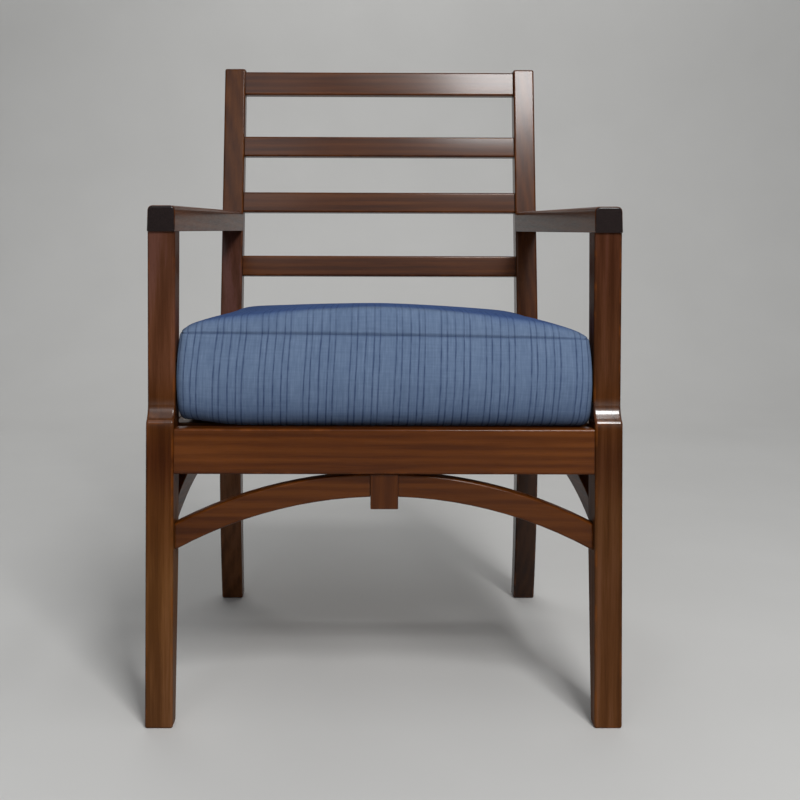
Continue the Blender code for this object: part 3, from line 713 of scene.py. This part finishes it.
def make_screws(steel):
    pattern = model_screw()
    for name, place, direction in screw_places():
        screw = pattern.copy()
        screw.data = pattern.data.copy()
        screw.name = name
        bpy.context.scene.collection.objects.link(screw)
        turn = direction.to_track_quat("Z", "Y").to_matrix().to_4x4()
        screw.data.transform(Matrix.Translation(place) @ turn)
        select_only(screw)
        bpy.ops.object.shade_smooth_by_angle(angle=EASED_ANGLE)
        screw.data.materials.append(steel)
        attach(screw, "frame")
    bpy.data.objects.remove(pattern)


# Striped cloth

def cloth_noise(tree, cut, across, along, detail, roughness):
    """Noise on the flat cloth, with so many spots to the metre across and along the stripes."""
    place = node(tree, "Mapping", {"Vector": cut, "Scale": (across, along, 1)}).outputs[0]
    inputs = {"Vector": place, "Scale": 1, "Detail": detail, "Roughness": roughness}
    return node(tree, "TexNoise", inputs).outputs["Fac"]


def centred(tree, value, amount):
    """Turns a 0 to 1 value into one that swings about 0."""
    return math_node(tree, "MULTIPLY", math_node(tree, "SUBTRACT", value, 0.5), amount)


def cloth_ground(tree, cut, slubs):
    """The woven ground between the lines."""
    yarns, wefts, fading = [cloth_noise(tree, cut, *noise) for noise in (YARNS, WEFTS, FADING)]
    tone = weighted_sum(tree, (yarns, slubs, wefts, fading), TONE_SHARES)
    return ramp(tree, tone, list(zip(CLOTH_STOPS, CLOTH_TONES)))


def stripe_mask(tree, across):
    """1 on the thin lines of the cloth, by distance across the stripes."""
    share = math_node(tree, "SUBTRACT", across, STRIPE_START - STRIPE_WIDTH)
    share = math_node(tree, "FRACT", math_node(tree, "DIVIDE", share, STRIPE_PERIOD))
    levels = [(0.0, 0)]
    half = STRIPE_WIDTH / 2 / STRIPE_PERIOD
    for line in STRIPE_LINES:
        middle = (line + STRIPE_WIDTH) / STRIPE_PERIOD
        levels += [(middle - half, 0), (middle, 1), (middle + half, 0)]
    return level_ramp(tree, share, levels)


def line_strength(tree, cut, across, along, slubs):
    """The thin lines, which wander and break a little, and are weaker on the top panel."""
    wander = centred(tree, cloth_noise(tree, cut, *LINE_WANDER), WANDER_WIDTH)
    wander = math_node(tree, "ADD", wander, centred(tree, slubs, SLUB_WIDTH))
    lines = stripe_mask(tree, math_node(tree, "ADD", across, wander))
    breaks = map_range(tree, cloth_noise(tree, cut, *LINE_BREAKS), *BREAK_RANGE, *BREAK_STRENGTH)
    fade = level_ramp(tree, math_node(tree, "MULTIPLY", along, -1.0), LINE_FADE)
    return math_node(tree, "MULTIPLY", math_node(tree, "MULTIPLY", lines, breaks), fade)


def front_seam():
    """Where the upper front seam lies on the flat cloth."""
    low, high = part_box("seat_cushion")
    return COVER_SEAM_INSET - (high.y - low.y) / 2


def painted_shade_mask(tree, across, along):
    """1 on the top panel behind its rolled front edge, where shade is painted into the colour."""
    later = smooth_step(tree, math_node(tree, "ABSOLUTE", across), *PAINTED_SHADE_MIDDLE, PAINTED_SHADE_LATER, 0.0)
    behind = math_node(tree, "SUBTRACT", math_node(tree, "SUBTRACT", along, front_seam()), later)
    return smooth_step(tree, behind, *PAINTED_SHADE_START)


def seam_painted_shade(tree):
    """Painted shade in the seams: the cloth is darker towards them."""
    gap = node(tree, "Attribute", attribute_name="seam_gap").outputs["Fac"]
    return map_range(tree, gap, ON_SEAM, SEAM_SHADE_REACH, SEAM_SHADE_DARKNESS, 0.0)


def zip_place():
    """Where the flap over the zip lies on the flat cloth: start, end, upper edge, lower edge."""
    low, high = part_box("seat_cushion")
    width, depth = high.x - low.x - 2 * COVER_SEAM_INSET, high.y - low.y - 2 * COVER_SEAM_INSET
    start = width / 2 + depth
    upper = -depth / 2 - ZIP_DROP
    return start + ZIP_MARGIN, start + width - ZIP_MARGIN, upper, upper - ZIP_FLAP


def zip_stitches(tree, across, along):
    """1 on the two rows of stitches along the flap over the zip."""
    start, end, upper, lower = zip_place()
    middle = math_node(tree, "SUBTRACT", along, (upper + lower) / 2)
    to_row = math_node(tree, "SUBTRACT", math_node(tree, "ABSOLUTE", middle), ZIP_FLAP / 2 - STITCH_INSET)
    on_row = math_node(tree, "LESS_THAN", math_node(tree, "ABSOLUTE", to_row), STITCH_WIDTH / 2)
    dash = math_node(tree, "FRACT", math_node(tree, "DIVIDE", across, STITCH_STEP))
    on_dash = math_node(tree, "LESS_THAN", dash, STITCH_SHARE)
    to_middle = math_node(tree, "ABSOLUTE", math_node(tree, "SUBTRACT", across, (start + end) / 2))
    on_flap = math_node(tree, "LESS_THAN", to_middle, (end - start) / 2 - STITCH_INSET)
    return math_node(tree, "MULTIPLY", math_node(tree, "MULTIPLY", on_row, on_dash), on_flap)


def weave_height(tree, across, along):
    """Plain weave: warp and weft yarns that pass over each other in turn."""
    warp = math_node(tree, "SINE", math_node(tree, "MULTIPLY", across, 2 * math.pi / WARP_PITCH))
    weft = math_node(tree, "SINE", math_node(tree, "MULTIPLY", along, 2 * math.pi / WEFT_PITCH))
    return math_node(tree, "MULTIPLY", warp, weft)


def cloth_material():
    """Blue outdoor cloth: a woven ground with uneven yarns, and sets of thin dark lines."""
    material, tree, shader = new_material("striped_cloth")
    cut = node(tree, "UVMap", uv_map="cloth").outputs[0]
    parts = node(tree, "SeparateXYZ", {"Vector": cut})
    across, along = parts.outputs[0], parts.outputs[1]
    slubs = cloth_noise(tree, cut, *SLUBS)
    stitches = zip_stitches(tree, across, along)
    lines = line_strength(tree, cut, across, along, slubs)
    color = blend_colors(tree, lines, cloth_ground(tree, cut, slubs), LINE_AND_SEAM_SHADE_COLOR)
    # Painted shade on the top panel, behind its rolled front edge.
    color = blend_colors(tree, painted_shade_mask(tree, across, along), color, CLOTH_PAINTED_SHADE, "MULTIPLY")
    # Painted shade low on the front and sides, where the cloth turns under.
    below = math_node(tree, "SUBTRACT", front_seam(), along)
    color = blend_colors(tree, 1.0, color, ramp(tree, below, CLOTH_PAINTED_LOW_SHADE, "EASE"), "MULTIPLY")
    # Painted shade in the seams.
    color = blend_colors(tree, seam_painted_shade(tree), color, LINE_AND_SEAM_SHADE_COLOR)
    color = blend_colors(tree, stitches, color, THREAD)
    relief = weighted_sum(tree, (weave_height(tree, across, along), slubs, stitches), RELIEF_SHARES)
    bump = node(tree, "Bump", {"Height": relief, "Strength": CLOTH_RELIEF, "Distance": CLOTH_RELIEF_DEPTH})
    plug(tree, shader, {
        "Base Color": color,
        "Normal": bump.outputs[0],
        "Roughness": 0.9,
        "Specular IOR Level": 0.02,
        "Sheen Weight": 0.02,
        "Sheen Roughness": 0.4,
    })
    return material


# Cushion

def cover_box():
    """The cover as a box of squares, before it is shaped and stuffed."""
    low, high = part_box("seat_cushion")
    inset = Vector((COVER_SEAM_INSET, COVER_SEAM_INSET, 0))
    low, high = low + inset, high - inset
    high.z = low.z + COVER_EDGE
    cover = unit_cube()
    cover.name = "seat_cushion_cover"
    size = high - low
    with editing(cover):
        size_and_place(size, (low + high) / 2)
        for axis in range(3):
            pick(cover, "EDGE", lambda edge: runs_along(edge, axis))
            bpy.ops.mesh.subdivide(number_cuts=round(size[axis] / COVER_CELL))
    return cover, low, high


def runs_along(edge, axis):
    run = edge.verts[1].co - edge.verts[0].co
    return abs(run[axis]) > 0.9 * run.length


def cut_cloth(cover, low, high):
    """Lays the cloth flat: metres across and along the stripes, for the panels and the sides."""
    layer = cover.data.uv_layers.new(name="cloth")
    middle_y = (low.y + high.y) / 2
    for face in cover.data.polygons:
        normal = face.normal
        for loop in face.loop_indices:
            point = cover.data.vertices[cover.data.loops[loop].vertex_index].co
            down = high.z - point.z
            lean = STRIPE_SLANT * down
            if abs(normal.z) > 0.5:
                flat = (point.x, point.y - middle_y)
            elif normal.y < -0.5:
                flat = (point.x + lean, low.y - middle_y - down)
            elif normal.x > 0.5:
                flat = (high.x + point.y - low.y + lean, low.y - middle_y - down)
            elif normal.x < -0.5:
                flat = (low.x - point.y + low.y + lean, low.y - middle_y - down)
            else:
                flat = (high.x + high.y - low.y + high.x - point.x, low.y - middle_y - down)
            layer.data[loop].uv = flat


def note_seams(cover, low, high):
    """Keeps each point's distance to the nearest seam."""
    points = points_of(cover)
    to_side = np.minimum.reduce([
        points[:, 0] - low.x, high.x - points[:, 0], points[:, 1] - low.y, high.y - points[:, 1]
    ])
    to_panel = np.minimum(points[:, 2] - low.z, high.z - points[:, 2])
    gap = np.maximum(to_side, to_panel)
    kept = cover.data.attributes.new("seam_gap", "FLOAT", "POINT")
    kept.data.foreach_set("value", gap.astype(np.float32))


def cushion_taper():
    """Share of the front width that the cushion has at its back."""
    points = points_of(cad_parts["seat_cushion"])
    low, high = points.min(0), points.max(0)
    at_back = points[:, 1] > high[1] - TAPER_STRIP
    return points[at_back, 0].max() / high[0]


def shape_cover(cover, low, high):
    """Rounds the corners, swells the sides, narrows the back and crowns the top."""
    points = points_of(cover)
    middle = np.array([0, (low.y + high.y) / 2])
    half = np.array([(high.x - low.x) / 2, (high.y - low.y) / 2])
    share = np.clip((points[:, 2] - low.z) / COVER_EDGE, 0, 1)
    across = (points[:, :2] - middle) / half
    rise, back = top_form(across, half) * (share > TOP_SHARE)
    bulge, tuck, height = side_profile(share)
    plan = round_corners(points[:, :2] - middle, half)
    plan[:, 1] += back
    near_side = (np.abs(across[:, 0]) - SIDE_UNDER_START) / (1 - SIDE_UNDER_START)
    side_tuck = tuck * np.clip(near_side, 0, 1) ** 2
    plan[:, 0] *= 1 + (SIDE_BULGE * bulge - SIDE_UNDER * side_tuck) / half[0]
    plan[:, 1] *= 1 + (FRONT_BULGE * bulge - COVER_UNDER * tuck) / half[1]
    depth = np.clip((plan[:, 1] + half[1]) / (2 * half[1]), 0, 1)
    plan[:, 0] *= 1 + COVER_FRONT_SPREAD * (1 - depth) / half[0] - (1 - cushion_taper()) * depth
    points[:, :2] = plan + middle
    points[:, 2] = low.z + height + rise + corner_curl(plan, half, share)
    points[:, 2] -= share * (COVER_TILT * across[:, 0] + COVER_FALL * depth**COVER_FALL_POWER)
    set_points(cover, points)


def top_form(across, half):
    """How far the top panel's points rise over its seams and lie back: up a steep roll, then level."""
    length = 2 * half[1]
    cloth = (across[:, 1] + 1) / 2 * length
    turn = np.clip(cloth / ROLL_CLOTH, 0, 1) * math.pi / 2
    past = np.clip((cloth - ROLL_CLOTH) / (length - ROLL_CLOTH), 0, 1)
    depth = ROLL_DEPTH * (1 - np.cos(turn)) + past * (length - ROLL_DEPTH)
    from_side = np.maximum(1 - np.abs(across[:, 0]), 0) * half[0]
    side_reach = SIDE_ROLL * (1 + SIDE_ROLL_LEAN * across[:, 0])
    beside = 1 - np.exp(-((from_side / side_reach) ** SIDE_ROLL_POWER))
    from_back = np.maximum(length - cloth, 0)
    behind = 1 - np.exp(-((from_back / BACK_ROLL) ** BACK_ROLL_POWER))
    crown = COVER_CROWN * (1 - np.abs(across[:, 0]) ** CROWN_SPREAD) * (1 - past**CROWN_DROP)
    rise = (TOP_EDGE_RISE + crown) * beside * behind * np.sin(turn)
    return np.stack([rise, (depth - cloth) * beside])


def corner_curl(plan, half, share):
    """The lower left front corner, which curls up off the deck."""
    away = np.hypot(plan[:, 0] + half[0], plan[:, 1] + half[1])
    lift = CORNER_LIFT * np.exp(-((away / CORNER_LIFT_REACH) ** 2))
    return lift * np.clip(1 - share / CORNER_LIFT_SHARE, 0, 1)


def side_profile(share):
    """How far the sides bulge, are tucked under, and rise, by share of their run up the cloth."""
    turn = np.clip(share / UNDER_SHARE, 0, 1) * math.pi / 2
    rise = np.clip((share - UNDER_SHARE) / (1 - UNDER_SHARE), 0, 1)
    start, run = BULGE_ARC
    bulge = np.sin(math.pi * (start + run * rise)) ** BULGE_POWER
    height = COVER_UNDER * (1 - np.cos(turn)) + (COVER_EDGE - COVER_UNDER) * rise
    return bulge, 1 - np.sin(turn), height


def round_corners(plan, half):
    """Turns the plan's square corners into round ones, ring by ring."""
    inner = half - COVER_CORNER
    cut = np.clip((np.abs(plan) - inner) / COVER_CORNER, 0, 1)
    rounded = inner + COVER_CORNER * cut * np.sqrt(1 - cut[:, ::-1] ** 2 / 2)
    in_corner = (cut > 0).all(1)
    plan[in_corner] = np.sign(plan[in_corner]) * rounded[in_corner]
    return plan


def stuff_cover(cover):
    """Swells the cover with a cloth simulation, with its underside held flat."""
    start = points_of(cover)
    lowest = start[:, 2].min()
    held = [int(i) for i in np.flatnonzero(start[:, 2] < lowest + RESTING_HEIGHT)]
    group = cover.vertex_groups.new(name="resting")
    group.add(held, 1.0, "REPLACE")
    cloth = cover.modifiers.new("stuffing", "CLOTH")
    for name, value in STUFFING.items():
        setattr(cloth.settings, name, value)
    cloth.settings.effector_weights.gravity = 0
    cloth.settings.vertex_group_mass = "resting"
    cloth.collision_settings.use_collision = False
    cloth.point_cache.frame_start = 1
    cloth.point_cache.frame_end = STUFFING_FRAMES
    for step in range(1, STUFFING_FRAMES + 1):
        bpy.context.scene.frame_set(step)
    apply_modifier(cover, cloth)
    bpy.context.scene.frame_set(1)
    move = points_of(cover) - start
    furthest = np.linalg.norm(move, axis=1).max()
    set_points(cover, start + move * min(1, SWELL_LIMIT / furthest))


def sew_seams(cover):
    """Smooths the cloth, then draws its two seams in to narrow grooves with soft puckers."""
    smooth = cover.modifiers.new("smooth", "SUBSURF")
    smooth.levels = 1
    smooth.render_levels = 1
    apply_modifier(cover, smooth)
    gap = np.empty(len(cover.data.vertices), np.float32)
    cover.data.attributes["seam_gap"].data.foreach_get("value", gap)
    pucker_seams(cover, gap)
    on_seam = gap < ON_SEAM
    with editing(cover):
        pick(cover, "EDGE", lambda edge: all(on_seam[vert.index] for vert in edge.verts))
        bpy.ops.mesh.bevel(offset=SEAM_HALF_WIDTH, segments=2, affect="EDGES")
        shape = bmesh.from_edit_mesh(cover.data)
        grooves = [vert for vert in shape.verts if vert.select and sits_in_groove(vert)]
        for vert in grooves:
            vert.co -= vert.normal * SEAM_DEPTH
        bmesh.update_edit_mesh(cover.data)


def sits_in_groove(vert):
    """Whether all the faces round a vertex belong to the seam's own strip."""
    return all(face.select for face in vert.link_faces)


def pucker_seams(cover, gap):
    """Small ripples that run out from the seams."""
    points = points_of(cover)
    normals = np.empty(len(points) * 3, np.float32)
    cover.data.vertex_normals.foreach_get("vector", normals)
    normals = normals.reshape(-1, 3)
    run = points[:, 0] + points[:, 1]
    phase = 2 * math.pi * run / PUCKER_STEP
    for amount, rate in PUCKER_DRIFT:
        phase = phase + amount * np.sin(run * rate)
    height = PUCKER_HEIGHT * np.sin(phase) * np.clip(1 - gap / PUCKER_REACH, 0, 1) ** 2
    set_points(cover, points + normals * height[:, None])


def raise_zip_flap(cover):
    """Lifts a flap of cloth over the zip, across the back."""
    start, end, upper, lower = zip_place()
    with editing(cover):
        cut = bmesh.from_edit_mesh(cover.data).loops.layers.uv["cloth"]

        def on_flap(face):
            middle = sum((loop[cut].uv for loop in face.loops), Vector((0, 0))) / len(face.loops)
            return start < middle.x < end and lower < middle.y < upper

        pick(cover, "FACE", on_flap)
        bpy.ops.mesh.extrude_region_shrink_fatten(TRANSFORM_OT_shrink_fatten={"value": ZIP_FLAP_RISE})


def rounded_bar(name, size, place, ease):
    """A small bar with rounded edges."""
    bar = unit_cube()
    bar.name = name
    with editing(bar):
        size_and_place(size, place)
        bpy.ops.mesh.bevel(offset=ease, segments=3, affect="EDGES")
    return bar


def make_zip_puller(cover, steel):
    """The zip's slider and pull tab, at the end of the flap across the back."""
    points = points_of(cover)
    end = np.abs(points[:, 0] - ZIP_END_X) < ZIP_NEAR
    level = np.abs(points[:, 2] - ZIP_LEVEL) < ZIP_NEAR
    back = points[end & level, 1].max() - ZIP_SLIDER_SINK
    slider_y = back + ZIP_SLIDER[1] / 2
    slider = rounded_bar("zip_puller", ZIP_SLIDER, (ZIP_END_X, slider_y, ZIP_LEVEL), ZIP_SLIDER_EASE)
    tab_y = back + ZIP_SLIDER[1] + ZIP_TAB[1] / 2
    tab_level = ZIP_LEVEL - ZIP_TAB[2] * ZIP_TAB_DROP
    tab = rounded_bar("zip_tab", ZIP_TAB, (ZIP_END_X, tab_y, tab_level), ZIP_TAB_EASE)
    drill_tab(tab, (ZIP_END_X, tab_y, ZIP_LEVEL - ZIP_TAB[2] * ZIP_HOLE_DROP))
    bpy.ops.object.select_all(action="DESELECT")
    tab.select_set(True)
    slider.select_set(True)
    bpy.context.view_layer.objects.active = slider
    bpy.ops.object.join()
    bpy.ops.object.shade_smooth_by_angle(angle=EASED_ANGLE)
    slider.data.materials.append(steel)
    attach(slider, "cushion")


def drill_tab(tab, place):
    """The hole near the end of the pull tab."""
    bpy.ops.object.select_all(action="DESELECT")
    bpy.ops.mesh.primitive_cylinder_add(
        vertices=16,
        radius=ZIP_TAB[0] * ZIP_HOLE,
        depth=ZIP_DRILL,
        location=place,
        rotation=(math.pi / 2, 0, 0),
    )
    cut_away(tab, bpy.context.object)


def make_cushion(steel):
    cover, low, high = cover_box()
    cut_cloth(cover, low, high)
    note_seams(cover, low, high)
    shape_cover(cover, low, high)
    stuff_cover(cover)
    sew_seams(cover)
    raise_zip_flap(cover)
    select_only(cover)
    bpy.ops.object.shade_smooth()
    finish_piece(cover, cloth_material(), "cushion", "cushion_fabric", "seat_cushion")
    make_zip_puller(cover, steel)


# Studio

def floor_material():
    """Pale grey floor paint, faintly mottled."""
    material, tree, shader = new_material("pale_floor")
    place = node(tree, "TexCoord").outputs["Object"]
    mottle = node(tree, "TexNoise", {"Vector": place, "Scale": 3, "Detail": 4}).outputs["Fac"]
    plug(tree, shader, {
        "Base Color": ramp(tree, mottle, FLOOR_COLORS),
        "Roughness": 0.85,
        "Specular IOR Level": 0.2,
    })
    return material


def make_studio():
    """The floor, which curves up into a backdrop."""
    bpy.ops.object.select_all(action="DESELECT")
    bpy.ops.mesh.primitive_plane_add(size=1)
    floor = bpy.context.object
    floor.name = "studio_floor"
    with editing(floor):
        size_and_place(FLOOR_SIZE, FLOOR_PLACE)
        pick(floor, "EDGE", lambda edge: all(vert.co.y > 0 for vert in edge.verts))
        bpy.ops.mesh.extrude_region_move(TRANSFORM_OT_translate={"value": (0, 0, BACKDROP_HEIGHT)})
        pick(floor, "EDGE", lambda edge: all(vert.co.y > 0 and vert.co.z < 1 for vert in edge.verts))
        bpy.ops.mesh.bevel(offset=BACKDROP_CURVE, segments=16, affect="EDGES")
    bpy.ops.object.shade_smooth()
    floor.data.materials.append(floor_material())


def softbox(name, place, target, size, radiance, color=(1, 1, 1)):
    """A rectangular lamp that faces a point. Its power follows from how bright it looks."""
    direction = Vector(target) - Vector(place)
    bpy.ops.object.light_add(type="AREA", location=place)
    lamp = bpy.context.object
    lamp.name = name
    lamp.rotation_euler = direction.to_track_quat("-Z", "Y").to_euler()
    lamp.data.shape = "RECTANGLE"
    lamp.data.size, lamp.data.size_y = size
    lamp.data.energy = radiance * math.pi * size[0] * size[1]
    lamp.data.color = color


def make_lights():
    """Softboxes, each with its place, the point it faces, its size and how bright it looks."""
    seat = (0, 0, 0.5)
    softbox("key_softbox", (0.70, -2.48, 2.38), (0.1, 0.1, 0.65), (0.74, 1.02), 28.5)
    softbox("key_edge", (0.12, -2.52, 2.42), (0.0, 0.1, 0.65), (0.46, 0.80), 1.8)
    softbox("right_strip", (0.82, -1.35, 3.05), (0.82, -0.3, 0.4), (0.16, 2.40), 9)
    softbox("left_strip", (-0.80, -1.35, 3.05), (-0.80, -0.3, 0.4), (0.45, 2.40), 1.0, COOL_LIGHT)
    softbox("front_card", (0.0, -2.70, 1.45), (0, 0, 0.7), (2.4, 0.9), 0.5)
    softbox("fill_softbox", (-0.80, -2.60, 1.95), seat, (1.1, 1.1), 1.3, COOL_LIGHT)
    softbox("back_softbox", (-0.8, 2.6, 2.6), seat, (2.4, 1.2), 1.2)
    softbox("backdrop_softbox", (0.0, 1.5, 3.4), (0, 3.3, 1.2), (3.4, 0.6), 4)
    world = bpy.data.worlds.new("studio_air")
    world.use_nodes = True
    tree = world.node_tree
    plug(tree, tree.nodes["Background"], {"Color": AIR_COLOR, "Strength": AIR_STRENGTH})
    bpy.context.scene.world = world


def make_camera():
    bpy.ops.object.camera_add(
        location=CAMERA_PLACE, rotation=(math.pi / 2, -CAMERA_ROLL, CAMERA_TURN)
    )
    camera = bpy.context.object
    camera.data.sensor_width = SENSOR
    camera.data.lens = FOCAL_PIXELS * SENSOR / PHOTO_SIDE
    camera.data.shift_x = 0.5 - VANISHING_POINT[0] / PHOTO_SIDE
    camera.data.shift_y = VANISHING_POINT[1] / PHOTO_SIDE - 0.5
    bpy.context.scene.camera = camera


bpy.context.scene.view_settings.view_transform = "Standard"
make_studio()
make_lights()
make_camera()
dress_all_wood()
plated_steel = steel_material()
make_screws(plated_steel)
make_cushion(plated_steel)
